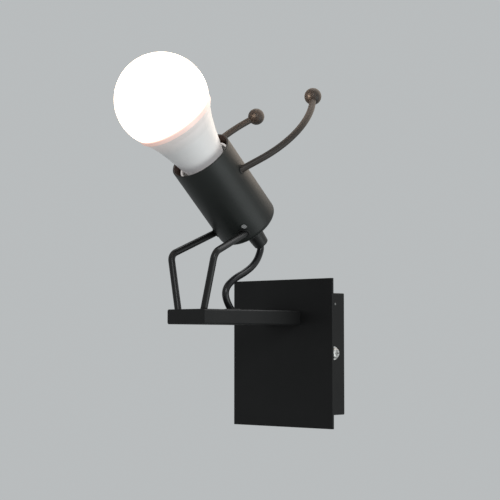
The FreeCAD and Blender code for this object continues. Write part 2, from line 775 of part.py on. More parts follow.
def make_cable():
    points = cable_points()
    edges, radii, length = route_edges(points)
    radius = size("cable_thick") / 2
    cable = sweep(edges, radius)
    shape_piece("cable", cable)
    print("cable radii", [round(r, 2) for r in radii])
    print("cable length", round(length, 2), "volume", round(cable.Volume, 1),
          "section x length", round(math.pi * radius ** 2 * length, 1))

    # the rubber ring where it goes into the bar
    ring, _ = turned("grommet_blank", (
        ("0", "-Sizes.bar_sheet - Sizes.grommet_rise"),
        ("Sizes.grommet_lip / 2 - 0.4", "-Sizes.bar_sheet - Sizes.grommet_rise"),
        ("Sizes.grommet_lip / 2 - 0.2", "-Sizes.bar_sheet"),
        ("Sizes.grommet_wide / 2", "-Sizes.bar_sheet"),
        ("Sizes.grommet_wide / 2", "0"),
        ("Sizes.grommet_lip / 2", "0"),
        ("Sizes.grommet_lip / 2 - 0.3", "Sizes.grommet_rise"),
        ("0", "Sizes.grommet_rise"),
    ))
    put(ring, GROMMET)
    bore = doc.addObject("Part::Feature", "grommet_bore")
    bore.Shape = tube(points[-4:], radius + size("cable_gap"))
    keep(cut("cable_grommet", ring, bore))

    # the cable goes on up the tube into the cup
    top = on_axis(cable_top())
    straight = Part.makeCylinder(radius, (points[0] - top).Length, top, points[0] - top)
    shape_piece("cable_inside_cup", straight)
    return points[-1]


def cable_top():
    """How far below the cup's rim the cable ends and its cores go on."""
    return size("cup_long") - CORES_START


def make_wires(cable_end):
    """Three cores from the end of the cable, through bar and bush, to their terminals."""
    core = size("core_thick") / 2
    face = size("box_deep") - size("box_sheet")
    pole_y = -(face - POLE_DEEP)
    pole_top = BLOCK_LOW + BLOCK_HIGH
    for name, sign in (("live_wire", -1), ("neutral_wire", 1)):
        start = cable_end + V(sign * CORE_SPREAD, 0, -CORE_DROP)
        pole = sign * POLE_OUT
        points = [
            start,
            V(start.x, pole_y, start.z),
            V(pole, pole_y, pole_top + CORE_TURN),
            V(pole, pole_y, pole_top - CORE_INSIDE),
        ]
        shape_piece(name, tube(points, core, [5, 8]))
    start = cable_end + V(0, 0, EARTH_RISE)
    tag_out = size("bracket_sheet") + size("washer_thick") + BARREL_OUT
    tag = V(size("earth_out"), -tag_out, BARREL_RISE + 0.5)
    above_tag = tag + V(0, 0, 8)
    points = [start, V(0, tag.y - 7, start.z), V(tag.x - 1, tag.y - 3, start.z), above_tag, tag]
    shape_piece("earth_wire", tube(points, core, [4, 3, 5]))


# The figure: cup, legs, arms and hands

def cup_point(turn, depth, radius):
    angle = math.radians(turn)
    return LEAN.multVec(V(radius * math.cos(angle), radius * math.sin(angle), -depth))


def mirrored(point, sign):
    return V(point.x * sign, point.y, point.z)


def leg_points(side, sign):
    foot = V(size("foot_spread"), size("foot_back") - BAR_FRONT, BAR_TOP)
    knee = V(size("knee_spread"), size("knee_back") - BAR_FRONT, BAR_TOP + size("knee_rise"))
    hip = cup_point(size(f"{side}_hip_turn"), size("hip_drop"), CUP_RADIUS)
    end = hip + (hip - knee).normalize() * size("hip_inside")
    below = foot - (knee - foot).normalize() * ROD
    return [mirrored(point, sign) for point in (below, knee, end)]


def arm_parts(sign):
    """The arm's start, its heading, and the sideways direction that it bends to."""
    start = mirrored(cup_point(size("arm_turn"), size("arm_drop"), CUP_RADIUS), sign)
    heading = math.radians(size("arm_heading"))
    climb = math.radians(size("arm_climb"))
    ahead = V(math.cos(climb) * math.cos(heading), math.cos(climb) * math.sin(heading), math.sin(climb))
    up = (V(0, 0, 1) - ahead * ahead.z).normalize()
    lean_name = "right_arm_lean" if sign > 0 else "left_arm_lean"
    lean_angle = math.radians(size(lean_name))
    bend = up * math.cos(lean_angle) + ahead.cross(up) * math.sin(lean_angle)
    return start, mirrored(ahead, sign), mirrored(bend, sign)


def arm_edges(sign):
    """From inside the cup, straight, round one wide bend, and straight again inside the hand."""
    start, ahead, bend = arm_parts(sign)
    inside = start - ahead * 6
    bend_start = start + ahead * size("arm_straight")
    radius = size("arm_bend")
    grip = size("hand_wide") / 2
    sweep_angle = math.radians(size("arm_sweep")) - grip / radius
    points = []
    for angle in (sweep_angle / 2, sweep_angle):
        along = ahead * (radius * math.sin(angle))
        across = bend * (radius * (1 - math.cos(angle)))
        points.append(bend_start + along + across)
    out = ahead * math.cos(sweep_angle) + bend * math.sin(sweep_angle)
    hand = points[1] + out * grip
    edges = [
        Part.LineSegment(inside, bend_start).toShape(),
        Part.Arc(bend_start, points[0], points[1]).toShape(),
        Part.LineSegment(points[1], hand).toShape(),
    ]
    return edges, hand, out


def beyond_shoulder(sign):
    """The space inside the cup that the end of an arm is cut off flat against."""
    reach = CUP_RADIUS - size("cup_sheet") - size("arm_inside")
    turn = size("arm_turn")
    block = Part.makeBox(20, 40, 40, V(reach - 20, -20, -20 - size("arm_drop")))
    block.rotate(V(), V(0, 0, 1), turn if sign > 0 else 180 - turn)
    block.Placement = LEAN.multiply(block.Placement)
    return block


def make_figure():
    drills = []
    for side, sign in (("right", 1), ("left", -1)):
        points = leg_points(side, sign)
        rod = tube(points, ROD, [size("knee_bend")])
        under = Part.makeBox(80, 80, 40, V(-40, points[0].y - 40, BAR_TOP - 40))
        rod = rod.cut(under)
        foot = V(sign * size("foot_spread"), size("foot_back") - BAR_FRONT, BAR_TOP)
        pin_radius = size("pin_thick") / 2
        pin_low = foot - V(0, 0, size("pin_long"))
        pin = Part.makeCylinder(pin_radius, size("pin_long") + 1, pin_low)
        shape_piece(f"{side}_leg", rod.fuse(pin).removeSplitter())
        knee, end = points[1], points[2]
        drills.append(cylinder(
            f"{side}_hip_drill", "Sizes.rod_thick / 2 + Sizes.rod_gap", "40",
            end - (end - knee).normalize() * 20, FreeCAD.Rotation(V(0, 0, 1), end - knee),
        ))
        nut = hexagon_nut(size("foot_nut_across"), size("foot_nut_high"), pin_radius + PLAY)
        nut_top = BAR_TOP - size("bar_sheet") - PLAY
        nut.translate(V(foot.x, foot.y, nut_top - size("foot_nut_high")))
        shape_piece(f"{side}_foot_nut", nut)

        edges, hand, out = arm_edges(sign)
        shape_piece(f"{side}_arm", sweep(edges, ROD).cut(beyond_shoulder(sign)))
        start, ahead, _ = arm_parts(sign)
        drills.append(cylinder(
            f"{side}_shoulder_drill", "Sizes.rod_thick / 2 + Sizes.rod_gap", "12",
            start - ahead * 6, FreeCAD.Rotation(V(0, 0, 1), ahead),
        ))
        ball = doc.addObject("Part::Sphere", f"{side}_ball")
        ball.setExpression("Radius", "Sizes.hand_wide / 2")
        put(ball, hand)
        socket = cylinder(
            f"{side}_hand_drill", "Sizes.rod_thick / 2 + Sizes.rod_gap", "Sizes.hand_wide",
            hand + out * 0.2, FreeCAD.Rotation(V(0, 0, 1), out * -1),
        )
        keep(cut(f"{side}_hand", ball, socket))
    make_cup(drills)


def hexagon_nut(across, high, bore):
    """A nut that stands on z = 0, with its upper corners taken off."""
    reach = across / math.sqrt(3)
    corners = on_circle(reach, 6)
    prism = Part.Face(Part.makePolygon(corners + corners[:1])).extrude(V(0, 0, high))
    chamfer = Part.makeCone(reach + high, reach - 0.35, high)
    return prism.common(chamfer).cut(Part.makeCylinder(bore, high))


def make_cup(drills):
    radius = "Sizes.cup_wide / 2"
    bore = "Sizes.cup_wide / 2 - Sizes.cup_sheet"
    hole = "Sizes.nipple_wide / 2 + Sizes.rod_gap"
    body, blank = turned("cup_blank", (
        (hole, "-Sizes.cup_long"),
        (radius, "-Sizes.cup_long"),
        (radius, "0"),
        (bore, "0"),
        (bore, "-Sizes.cup_long + Sizes.cup_floor"),
        (hole, "-Sizes.cup_long + Sizes.cup_floor"),
    ))
    bottom = -size("cup_long")
    rounded = round_edges(
        body, blank, "cup_outer_corner", "Sizes.cup_corner",
        lambda e: at_height(e, bottom, CUP_RADIUS),
    )
    rounded = round_edges(
        body, rounded, "cup_inner_corner", "Sizes.cup_corner - Sizes.cup_sheet",
        lambda e: at_height(e, bottom + size("cup_floor"), CUP_RADIUS - size("cup_sheet")),
    )
    round_edges(body, rounded, "cup_rim", "Sizes.cup_sheet * 0.3", lambda e: at_height(e, 0))
    lean(body)
    tools = doc.addObject("Part::MultiFuse", "limb_drills")
    tools.Shapes = drills
    doc.recompute()
    keep(cut("lamp_cup", body, tools))


# Lampholder, tube, nuts and cord grip, all on the cup's axis

def make_holder():
    outer = "Sizes.holder_wide / 2"
    inner = "Sizes.holder_wide / 2 - Sizes.holder_sheet"
    joint = "-Sizes.holder_joint"
    skirt, blank = turned("holder_skirt", (
        (inner, joint),
        (outer, joint),
        (outer, "-Sizes.holder_mouth"),
        (inner, "-Sizes.holder_mouth"),
    ))
    round_edges(
        skirt, blank, "skirt_lip", "Sizes.holder_sheet * 0.3",
        lambda e: at_height(e, -size("holder_mouth")),
    )
    keep(lean(skirt))

    end = "-Sizes.holder_end"
    neck = "Sizes.nipple_wide / 2 + Sizes.neck_wall"
    bore = "Sizes.nipple_wide / 2 + Sizes.screw_gap"
    ceiling = f"{end} + Sizes.holder_sheet"
    shoulder = f"{end} + Sizes.holder_shoulder"
    spigot = "Sizes.holder_wide / 2 - Sizes.holder_sheet - Sizes.rod_gap"
    dome, _ = turned("holder_dome", (
        (bore, f"{end} - Sizes.holder_neck"),
        (neck, f"{end} - Sizes.holder_neck"),
        (neck, end),
        (f"{outer} - Sizes.holder_shoulder", end),
        (outer, shoulder),
        (outer, joint),
        (spigot, joint),
        (spigot, f"{joint} + Sizes.spigot_long"),
        (f"{spigot} - Sizes.spigot_sheet", f"{joint} + Sizes.spigot_long"),
        (f"{spigot} - Sizes.spigot_sheet", f"{shoulder} + Sizes.holder_sheet / 2"),
        (f"{outer} - Sizes.holder_shoulder - Sizes.holder_sheet / 2", ceiling),
        (bore, ceiling),
    ))
    keep(lean(dome))

    insert = "Sizes.insert_wide / 2"
    shell_room = "Sizes.shell_bore / 2 + Sizes.shell_sheet + Sizes.rod_gap"
    body, blank = turned("holder_insert", (
        ("0", "-Sizes.insert_low"),
        (insert, "-Sizes.insert_low"),
        (insert, "-Sizes.insert_top"),
        (shell_room, "-Sizes.insert_top"),
        (shell_room, "-Sizes.insert_floor"),
        ("0", "-Sizes.insert_floor"),
    ))
    round_edges(
        body, blank, "insert_edge", "Sizes.shell_sheet / 2",
        lambda e: at_height(e, -size("insert_top"), size("insert_wide") / 2),
    )
    wires = new_sketch(body, "insert_holes", "XY_Plane", "-Sizes.insert_low")
    for sign in ("", "-"):
        add_circle(wires, f"{sign}Sizes.terminal_spread", "0", "Sizes.contact_screw + 0.1")
        add_circle(wires, "0", f"{sign}Sizes.terminal_spread", "3")
    pocket(body, wires, "insert_drilled")
    keep(lean(body))


def helix_solid(root, crest, base_half, tip_half, low, high):
    """A thread ridge from one radius to another, wound right-handed about z."""
    pitch = size("thread_pitch")
    helix = Part.makeHelix(pitch, high - low, root)
    section = Part.makePolygon([
        V(root, 0, -base_half),
        V(crest, 0, -tip_half),
        V(crest, 0, tip_half),
        V(root, 0, base_half),
        V(root, 0, -base_half),
    ])
    ridge = Part.Wire(helix.Edges).makePipeShell([section], True, True)
    ridge.translate(V(0, 0, low))
    return ridge


# heights on the cup's axis
CAP_TOP = -4.6
CAP_THREAD_HIGH = -8
CAP_THREAD_LOW = -22.516
CAP_SHELL_LOW = -25
CAP_TIP = -32
SHELL_HIGH = -11
SHELL_LOW = -29.5
RIDGE_TURNS = 3.5
# the sprung tongue under the bulb's tip: strip, and how far its end stands up
CONTACT_WIDE = 4
CONTACT_THICK = 0.5
TONGUE_RISE = 1.5
# the screws under the lampholder that take the cores
CONTACT_HEAD = 2.4
CONTACT_HEAD_HIGH = 1.8
CONTACT_SHANK_LONG = 3.5


def make_screw_shell():
    """The threaded shell of the lampholder, with its ridge between the ridges of the bulb's cap."""
    bore = size("shell_bore") / 2
    outer = bore + size("shell_sheet")
    pitch = size("thread_pitch")
    shell = Part.makeCylinder(outer, SHELL_HIGH - SHELL_LOW, V(0, 0, SHELL_LOW))
    shell = shell.cut(Part.makeCylinder(bore, SHELL_HIGH - SHELL_LOW, V(0, 0, SHELL_LOW)))
    low = CAP_THREAD_LOW - pitch / 2
    high = low + RIDGE_TURNS * pitch
    ridge = helix_solid(bore + 0.25, size("shell_ridge") / 2, 1.0, 0.25, low, high)
    shape_piece("screw_shell", shell.fuse(ridge), LEAN)

    # sprung tongue under the bulb's tip, and the strip that feeds the shell
    floor = -size("insert_floor")
    middle = V(0, -CONTACT_WIDE / 2, 0)
    raised = floor + TONGUE_RISE
    profile = [
        V(-8, 0, floor),
        V(-8, 0, floor + CONTACT_THICK),
        V(-5, 0, floor + CONTACT_THICK),
        V(-2.6, 0, raised),
        V(2.6, 0, raised),
        V(2.6, 0, raised - 0.8 * CONTACT_THICK),
        V(-2.4, 0, raised - 0.8 * CONTACT_THICK),
        V(-4.8, 0, floor),
        V(-8, 0, floor),
    ]
    tongue = Part.Face(Part.makePolygon(profile)).extrude(V(0, CONTACT_WIDE, 0))
    tongue.translate(middle)
    shape_piece("centre_contact", tongue, LEAN)
    side_out = bore + PLAY
    foot = Part.makeBox(5.5, CONTACT_WIDE, CONTACT_THICK, V(side_out - 5, middle.y, floor))
    riser = Part.makeBox(CONTACT_THICK, CONTACT_WIDE, SHELL_LOW - floor, V(side_out, middle.y, floor))
    shape_piece("side_contact", foot.fuse(riser).removeSplitter(), LEAN)
    screws = []
    below = -size("insert_low")
    for sign in (1, -1):
        seat = V(sign * size("terminal_spread"), 0, below)
        head = Part.makeCylinder(CONTACT_HEAD, CONTACT_HEAD_HIGH, seat - V(0, 0, CONTACT_HEAD_HIGH))
        shank = Part.makeCylinder(size("contact_screw") / 2, CONTACT_SHANK_LONG, seat)
        slot = Part.makeBox(2 * CONTACT_HEAD + 1, SLOT_DEEP, CONTACT_HEAD_HIGH / 2)
        slot.translate(seat - V(CONTACT_HEAD + 0.5, SLOT_DEEP / 2, CONTACT_HEAD_HIGH))
        screws.append(head.cut(slot).fuse(shank).removeSplitter())
    shape_piece("holder_screws", Part.makeCompound(screws), LEAN)
    cores = []
    for sign in (1, -1):
        points = [
            V(sign * 1.1, 0, -cable_top()),
            V(sign * 1.1, 0, -size("holder_end") + 1),
            V(sign * (size("terminal_spread") - 4.6), 0, below - 3.7),
            V(sign * (size("terminal_spread") - 0.6), 0, below - 2.8),
        ]
        cores.append(tube(points, size("core_thick") / 2, [2.5, 2.5]))
    shape_piece("holder_wires", Part.makeCompound(cores), LEAN)


TEETH = 14


def make_fixings():
    floor = "(Sizes.cup_floor - Sizes.cup_long)"
    low = "-Sizes.cup_long - Sizes.nipple_below"
    top = "-Sizes.holder_end - Sizes.tooth_thick"
    nipple = add_ring("nipple", "Sizes.nipple_wide", "Sizes.nipple_bore", low, top)
    keep(lean(nipple))
    bore = "Sizes.nipple_wide + 2 * Sizes.rod_gap"
    washer = add_ring("tooth_washer", "Sizes.tooth_wide", bore, floor, f"{floor} + Sizes.tooth_thick")
    gaps = new_sketch(washer, "tooth_gap", "XY_Plane", floor)
    add_circle(gaps, "Sizes.tooth_wide / 2", "0", "Sizes.tooth_gap")
    first = pocket(washer, gaps, "tooth_gap_cut", "Sizes.tooth_thick", reverse=True)
    ring = washer.newObject("PartDesign::PolarPattern", "teeth")
    ring.Originals = [first]
    ring.Axis = (gaps, ["N_Axis"])
    ring.Angle = 360
    ring.Occurrences = TEETH
    washer.Tip = ring
    doc.recompute()
    keep(lean(washer))
    nut = hexagon_nut(size("nut_across"), size("nut_high"), size("nipple_wide") / 2 + PLAY)
    nut.translate(V(0, 0, size("cup_floor") - size("cup_long") + size("tooth_thick")))
    shape_piece("lock_nut", nut, LEAN)


# the small screw in the grip's left side that holds the cable
GRIP_SCREW_RISE = 2
GRIP_SCREW_TIP = 0.35
GRIP_HEAD_RADIUS = 1.7
GRIP_HEAD_HIGH = 0.9
GRIP_HEAD_GAP = 0.09


def make_cord_grip():
    start = "-Sizes.cup_long"
    end = "-(Sizes.cup_long + Sizes.grip_long)"
    passing = "Sizes.cable_thick / 2 + Sizes.cable_gap"
    body, blank = turned("cord_grip_blank", (
        ("Sizes.nipple_wide / 2 + Sizes.screw_gap", start),
        ("Sizes.grip_wide / 2", start),
        ("Sizes.grip_end_wide / 2", end),
        ("Sizes.grip_mouth / 2", end),
        (passing, f"{end} + Sizes.grip_funnel"),
        (passing, f"{start} - Sizes.grip_seat"),
        ("Sizes.nipple_wide / 2 + Sizes.screw_gap", f"{start} - Sizes.grip_seat"),
    ))
    bottom = -(size("cup_long") + size("grip_long"))
    round_edges(
        body, blank, "grip_end", "(Sizes.grip_end_wide - Sizes.grip_mouth) / 2 * 0.7",
        lambda e: at_height(e, bottom, size("grip_end_wide") / 2),
    )
    lean(body)
    tip = V(-size("cable_thick") / 2 - GRIP_SCREW_TIP, 0, bottom + GRIP_SCREW_RISE)
    outward = V(-1, 0, 0)
    way = LEAN.Rotation.multVec(outward)
    drill = cylinder(
        "grip_screw_drill", "Sizes.grip_screw_thick / 2 + Sizes.rod_gap", "Sizes.grip_wide / 2",
        LEAN.multVec(tip), FreeCAD.Rotation(V(0, 0, 1), way),
    )
    keep(cut("cord_grip", body, drill))
    # the head stands just clear of the cone where the cone is widest under it
    end_radius = size("grip_end_wide") / 2
    widening = (size("grip_wide") / 2 - end_radius) / size("grip_long")
    head_out = end_radius + widening * (GRIP_SCREW_RISE + GRIP_HEAD_RADIUS) + GRIP_HEAD_GAP
    head_seat = V(-head_out, 0, tip.z)
    radius = size("grip_screw_thick") / 2
    shank = Part.makeCylinder(radius, (head_seat - tip).Length + GRIP_HEAD_HIGH / 2, tip, outward)
    head = Part.makeCylinder(GRIP_HEAD_RADIUS, GRIP_HEAD_HIGH, head_seat, outward)
    slot_low = head_seat + V(-1.5 * GRIP_HEAD_HIGH, -GRIP_HEAD_RADIUS, -SLOT_WIDE / 2)
    slot = Part.makeBox(GRIP_HEAD_HIGH, 2 * GRIP_HEAD_RADIUS, SLOT_WIDE, slot_low)
    shape_piece("grip_screw", shank.fuse(head).cut(slot).removeSplitter(), LEAN)


# The bulb, in heights above the cup's rim and radii

SPIGOT_END = -8.2
SPIGOT_RADIUS = 11.6
SPIGOT_WALL = 1.2
# (height, radius) up the outside of the flared housing
FLARE = ((CAP_TOP, 14.4), (0, 15.6), (5, 16.8), (10, 18), (20, 20.9), (27, 23.8), (28, 24.5))
COLLAR_HEIGHT = 31.3
COLLAR_RADIUS = 26.5
HOUSING_WALL = 1.4
# the ledge inside the housing that the round board sits on
LEDGE_RADIUS = 20.2
RECESS_RADIUS = 23.4
BOARD_PLAY = 0.2
# where the round glass goes over into its short collar
GLASS_START = 34
GLASS_PLAY = 0.05
COLLAR_PULL = 0.2
# chips on the board, and the driver board with its parts
CHIPS = 14
CHIP_INNER = 13.6
CHIP_LONG = 2.8
CHIP_WIDE = 3.5
CHIP_HIGH = 0.8
DRIVER_WIDE = 19
DRIVER_THICK = 1.2
DRIVER_LOW = -7.4
DRIVER_LONG = 34


def make_bulb():
    board_top = "Sizes.board_low + Sizes.board_thick"
    board_room = f"Sizes.board_wide / 2 + {BOARD_PLAY}"
    spigot = [(f"{SPIGOT_RADIUS}", f"{SPIGOT_END}"), (f"{SPIGOT_RADIUS}", f"{CAP_TOP}")]
    flare = [(f"{radius}", f"{height}") for height, radius in FLARE]
    collar = [
        (f"{COLLAR_RADIUS}", f"{COLLAR_HEIGHT}"),
        (f"{COLLAR_RADIUS - SPIGOT_WALL}", f"{COLLAR_HEIGHT}"),
    ]
    ledge = [
        (f"{RECESS_RADIUS}", board_top),
        (board_room, board_top),
        (board_room, "Sizes.board_low - 0.1"),
        (f"{LEDGE_RADIUS}", "Sizes.board_low - 0.1"),
    ]
    inside = [(f"{radius - HOUSING_WALL}", f"{height}") for height, radius in FLARE[4:0:-1]]
    bore = [
        (f"{SPIGOT_RADIUS - SPIGOT_WALL}", f"{CAP_TOP}"),
        (f"{SPIGOT_RADIUS - SPIGOT_WALL}", f"{SPIGOT_END}"),
    ]
    housing, _ = turned("bulb_housing", spigot + flare + collar + ledge + inside + bore)
    keep(lean(housing))

    radius = size("globe_wide") / 2
    thick = size("globe_wall")
    rise = size("globe_rise")
    centre = V(0, 0, rise)
    ball = Part.makeSphere(radius, centre).cut(Part.makeSphere(radius - thick, centre))
    above = Part.makeCylinder(radius + 5, 2 * radius, V(0, 0, GLASS_START))
    edge = math.sqrt(radius ** 2 - (rise - GLASS_START) ** 2)
    inside_edge = math.sqrt((radius - thick) ** 2 - (rise - GLASS_START) ** 2)
    glass_low = COLLAR_HEIGHT + GLASS_PLAY
    skirt = Part.makePolygon([
        V(inside_edge - COLLAR_PULL, 0, glass_low),
        V(edge - COLLAR_PULL, 0, glass_low),
        V(edge, 0, GLASS_START),
        V(inside_edge, 0, GLASS_START),
        V(inside_edge - COLLAR_PULL, 0, glass_low),
    ])
    glass_collar = Part.Face(skirt).revolve(V(), V(0, 0, 1), 360)
    shape_piece("diffuser", ball.common(above).fuse(glass_collar), LEAN)

    board, _ = turned("led_board", (
        ("0", "Sizes.board_low"),
        ("Sizes.board_wide / 2", "Sizes.board_low"),
        ("Sizes.board_wide / 2", board_top),
        ("0", board_top),
    ))
    keep(lean(board))
    chips = []
    board_face = size("board_low") + size("board_thick")
    for number in range(CHIPS):
        corner = V(CHIP_INNER, -CHIP_WIDE / 2, board_face)
        chip = Part.makeBox(CHIP_LONG, CHIP_WIDE, CHIP_HIGH, corner)
        chip.rotate(V(), V(0, 0, 1), 360 / CHIPS * number)
        chips.append(chip)
    shape_piece("led_chips", Part.makeCompound(chips), LEAN)
    driver_low = V(-DRIVER_WIDE / 2, -DRIVER_THICK / 2, DRIVER_LOW)
    driver = Part.makeBox(DRIVER_WIDE, DRIVER_THICK, DRIVER_LONG, driver_low)
    shape_piece("driver_board", driver, LEAN)
    front = DRIVER_THICK / 2 + PLAY
    large_can = Part.makeCylinder(4, 11, V(0, -4 - front, 6))
    small_can = Part.makeCylinder(2.2, 5, V(-5.5, -2.2 - front, -3))
    coil = Part.makeBox(8, 4, 7, V(-4, front, 8))
    bridge = Part.makeBox(4, 1.4, 5, V(1.5, front, -3))
    shape_piece("driver_parts", Part.makeCompound([large_can, small_can, coil, bridge]), LEAN)


# the cap: sheet, and the glass cone that carries the tip
CAP_WALL = 0.3
CONE_BORE = 4.2
CONE_LOW = -31.1
CONE_INSIDE = 1.6
CONE_WALL = 1.8


def make_bulb_cap():
    root = size("cap_root") / 2
    low = V(0, 0, CAP_SHELL_LOW)
    shell = Part.makeCylinder(root, CAP_TOP - CAP_SHELL_LOW, low)
    ridge = helix_solid(
        root - CAP_WALL / 2, size("cap_crest") / 2, 1.3, 0.35, CAP_THREAD_LOW, CAP_THREAD_HIGH,
    )
    cap = shell.fuse(ridge).cut(Part.makeCylinder(root - CAP_WALL, CAP_TOP - CAP_SHELL_LOW, low))
    shape_piece("screw_cap", cap, LEAN)
    cone, _ = turned("cap_insulator", (
        (f"{CONE_BORE}", f"{CONE_LOW}"),
        (f"{CONE_BORE + 1}", f"{CONE_LOW}"),
        (f"{SPIGOT_RADIUS}", f"{CAP_SHELL_LOW - 0.6}"),
        (f"{SPIGOT_RADIUS}", f"{CAP_SHELL_LOW + CONE_INSIDE}"),
        (f"{SPIGOT_RADIUS - CONE_WALL}", f"{CAP_SHELL_LOW + CONE_INSIDE}"),
        (f"{SPIGOT_RADIUS - CONE_WALL}", f"{CAP_SHELL_LOW}"),
        (f"{CONE_BORE}", f"{CONE_LOW + 1.5}"),
    ))
    keep(lean(cone))
    tip_radius = CONE_BORE - 0.1
    tip, _ = turned("tip_contact", (
        ("0", f"{CAP_TIP}"),
        ("3", f"{CAP_TIP}"),
        (f"{tip_radius}", f"{CAP_TIP + 0.6}"),
        (f"{tip_radius}", f"{CAP_TIP + 2}"),
        ("0", f"{CAP_TIP + 2}"),
    ))
    keep(lean(tip))


def check_all():
    """Stops before anything is written if a feature failed or a piece isn't a good solid."""
    doc.recompute()
    for thing in doc.Objects:
        if "Invalid" in thing.State or "Error" in thing.State:
            raise RuntimeError(f"{thing.Label}: {thing.State}")
    for piece in pieces:
        shape = piece.Shape
        if shape.isNull() or not shape.isValid() or not shape.Solids:
            raise RuntimeError(f"{piece.Label}: no valid solid")
        if any(solid.Volume <= 0 for solid in shape.Solids):
            raise RuntimeError(f"{piece.Label}: a solid has no volume")


def write_all():
    os.makedirs("parts", exist_ok=True)
    for piece in pieces:
        piece.Shape.exportStep(f"parts/{piece.Label}.step")
        print(f"{piece.Label:20s} solids {len(piece.Shape.Solids):2d} volume {piece.Shape.Volume:10.1f}")
    print(len(pieces), "pieces")


make_wall_bracket()
make_back_box()
make_front_plate()
make_side_screws()
make_bar()
make_terminals()
make_wires(make_cable())
make_figure()
make_holder()
make_screw_shell()
make_fixings()
make_cord_grip()
make_bulb()
make_bulb_cap()
check_all()
write_all()
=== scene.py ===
import math

import bpy
from mathutils import Matrix, Vector


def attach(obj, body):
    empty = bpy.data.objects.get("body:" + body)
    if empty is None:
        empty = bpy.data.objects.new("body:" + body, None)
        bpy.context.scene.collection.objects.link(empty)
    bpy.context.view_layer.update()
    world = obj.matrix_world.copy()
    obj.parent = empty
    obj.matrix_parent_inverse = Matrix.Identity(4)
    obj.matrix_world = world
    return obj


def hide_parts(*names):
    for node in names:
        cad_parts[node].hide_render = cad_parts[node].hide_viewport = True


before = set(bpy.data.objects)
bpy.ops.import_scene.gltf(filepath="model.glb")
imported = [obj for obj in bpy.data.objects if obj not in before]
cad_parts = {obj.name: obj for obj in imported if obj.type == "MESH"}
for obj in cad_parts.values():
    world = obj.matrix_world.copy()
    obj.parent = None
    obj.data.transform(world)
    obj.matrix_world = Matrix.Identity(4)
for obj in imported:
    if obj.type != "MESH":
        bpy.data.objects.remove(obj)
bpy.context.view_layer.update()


# Camera, where the photograph was taken from: out to the lamp's right, a little below the bar

CAMERA_PLACE = (0.6661, -0.76669, 0.00726)
CAMERA_PITCH = 93.626
CAMERA_TURN = 43.147
SENSOR_WIDE = 36
LENS = 104.948
SEEN_FROM = 0.01
SEEN_TO = 20


def place_camera():
    bpy.ops.object.camera_add(location=CAMERA_PLACE)
    camera = bpy.context.object
    camera.name = "photo_camera"
    camera.rotation_euler = (math.radians(CAMERA_PITCH), 0, math.radians(CAMERA_TURN))
    camera.data.sensor_width = SENSOR_WIDE
    camera.data.lens = LENS
    camera.data.clip_start = SEEN_FROM
    camera.data.clip_end = SEEN_TO
    bpy.context.scene.camera = camera


# Small helpers for shaping

def pick_nothing():
    if bpy.context.object and bpy.context.object.mode != "OBJECT":
        bpy.ops.object.mode_set(mode="OBJECT")
    bpy.ops.object.select_all(action="DESELECT")


def settle(piece, body, name):
    """Names a finished piece, leaves its place in its mesh, and lets it ride on its body."""
    pick_nothing()
    piece.select_set(True)
    bpy.context.view_layer.objects.active = piece
    bpy.ops.object.transform_apply(location=True, rotation=True, scale=True)
    piece.name = name
    piece.data.name = name
    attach(piece, body)
    pick_nothing()


# Shading. A noise's scale is in repeats per metre and a dent's depth in metres.

NOISE_LOW, NOISE_HIGH = 0.3, 0.7
EDGE_START, EDGE_END = 0.45, 0.95


class Shader:
    """One material's nodes, laid from the object's own coordinates towards its surface."""

    def __init__(self, name):
        self.material = bpy.data.materials.new(name)
        self.material.use_nodes = True
        self.nodes = self.material.node_tree.nodes
        self.links = self.material.node_tree.links
        self.surface = self.nodes["Principled BSDF"]
        self.place = self.nodes.new("ShaderNodeTexCoord").outputs["Object"]

    def node(self, kind, **inputs):
        made = self.nodes.new(kind)
        for socket, value in inputs.items():
            self.feed(made.inputs[socket.replace("_", " ")], value)
        return made

    def feed(self, socket, value):
        if isinstance(value, bpy.types.NodeSocket):
            self.links.new(value, socket)
        else:
            socket.default_value = value

    def maths(self, operation, first, second):
        made = self.node("ShaderNodeMath")
        made.operation = operation
        self.feed(made.inputs[0], first)
        self.feed(made.inputs[1], second)
        return made.outputs["Value"]

    def length(self, vector):
        made = self.node("ShaderNodeVectorMath")
        made.operation = "LENGTH"
        self.feed(made.inputs[0], vector)
        return made.outputs["Value"]

    def noise(self, scale, detail=3, roughness=0.5):
        made = self.node(
            "ShaderNodeTexNoise",
            Vector=self.place, Scale=scale, Detail=detail, Roughness=roughness,
        )
        return made.outputs["Fac"]

    def between(self, factor, low, high, start=NOISE_LOW, end=NOISE_HIGH):
        """A number that goes from low to high as the factor goes from start to end."""
        made = self.node(
            "ShaderNodeMapRange",
            Value=factor, From_Min=start, From_Max=end, To_Min=low, To_Max=high,
        )
        made.clamp = True
        return made.outputs["Result"]

    def tint(self, factor, *stops):
        """A colour along a ramp of (place, colour) stops."""
        ramp = self.node("ShaderNodeValToRGB", Fac=factor)
        elements = ramp.color_ramp.elements
        while len(elements) < len(stops):
            elements.new(0.5)
        for element, (place, colour) in zip(elements, stops):
            element.position = place
            element.color = (*colour, 1)
        return ramp.outputs["Color"]

    def patches(self, dark, light, scale, detail=3):
        """Soft patches of a darker and a lighter shade."""
        return self.tint(self.noise(scale, detail), (NOISE_LOW, dark), (NOISE_HIGH, light))

    def edgewise(self, rough, most):
        """Roughness that rises where the surface turns away, as a powder coat looks dull there."""
        facing = self.node("ShaderNodeLayerWeight").outputs["Facing"]
        return self.maths("ADD", rough, self.between(facing, 0, most, EDGE_START, EDGE_END))

    def dents(self, height, strength, depth):
        bump = self.node("ShaderNodeBump", Strength=strength, Distance=depth, Height=height)
        return bump.outputs["Normal"]

    def set(self, **inputs):
        for socket, value in inputs.items():
            self.feed(self.surface.inputs[socket.replace("_", " ")], value)
        return self.material


def grey(value):
    return (value, value, value)


